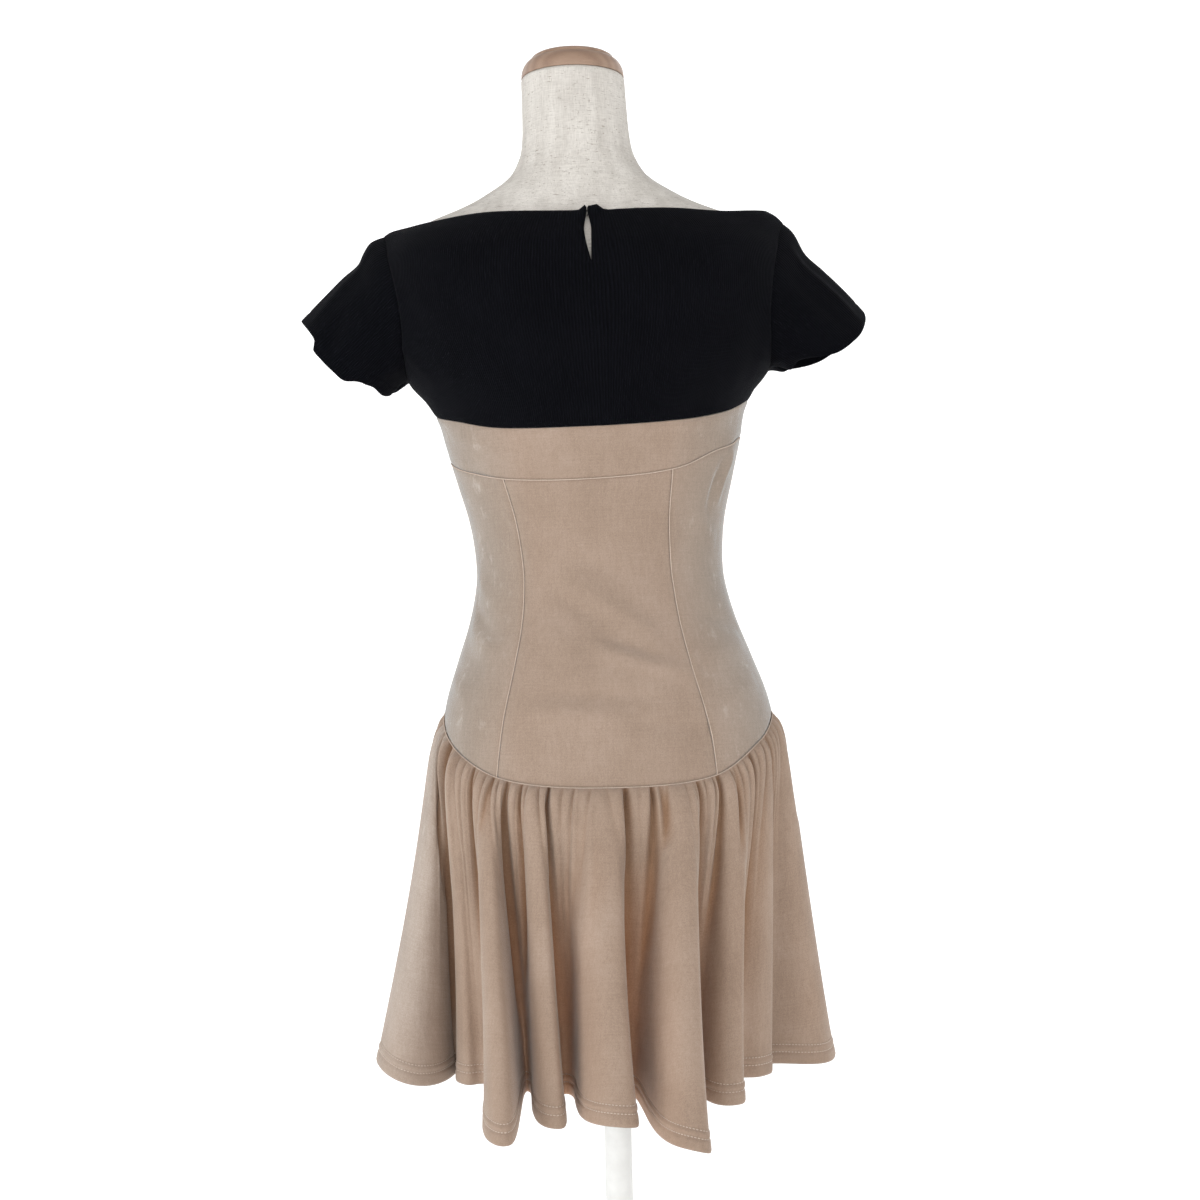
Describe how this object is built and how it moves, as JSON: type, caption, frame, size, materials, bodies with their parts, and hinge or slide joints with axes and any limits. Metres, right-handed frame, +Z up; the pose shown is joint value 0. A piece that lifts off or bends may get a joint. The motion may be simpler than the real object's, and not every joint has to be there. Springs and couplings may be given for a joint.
{
  "type": "mini dress on a limbless dress form",
  "caption": "Short-sleeved mini dress with a black rib knit yoke, fitted velour bodice and gathered dropped-waist skirt, on a limbless dress form with a round foot.",
  "frame": {"origin": "centre of the round foot's underside, on the floor", "axes": "+Z up; the back of the dress faces -Y and its front faces +Y; +X is to the right seen from behind"},
  "size_m": [0.517, 0.449, 1.1268],
  "materials": {
    "rib_knit": "matte black fine rib knit",
    "velour": "beige stretch velour with a soft sheen",
    "linen": "natural linen with grey slubs",
    "wood": "satin pale wood",
    "paint": "satin white paint",
    "hook": "black enamelled hook"
  },
  "bodies": {
    "root": {"yoke_back": "rib_knit", "yoke_front": "rib_knit", "sleeve_left": "rib_knit", "sleeve_right": "rib_knit", "neck_hook": "hook", "band_back": "velour", "band_front": "velour", "bodice_back_centre": "velour", "bodice_back_left": "velour", "bodice_back_right": "velour", "bodice_front_centre": "velour", "bodice_front_left": "velour", "bodice_front_right": "velour", "skirt_back": "velour", "skirt_front": "velour", "form_torso": "linen", "form_cap": "wood", "stand_pole": "paint", "stand_base": "paint"}
  },
  "joints": []
}
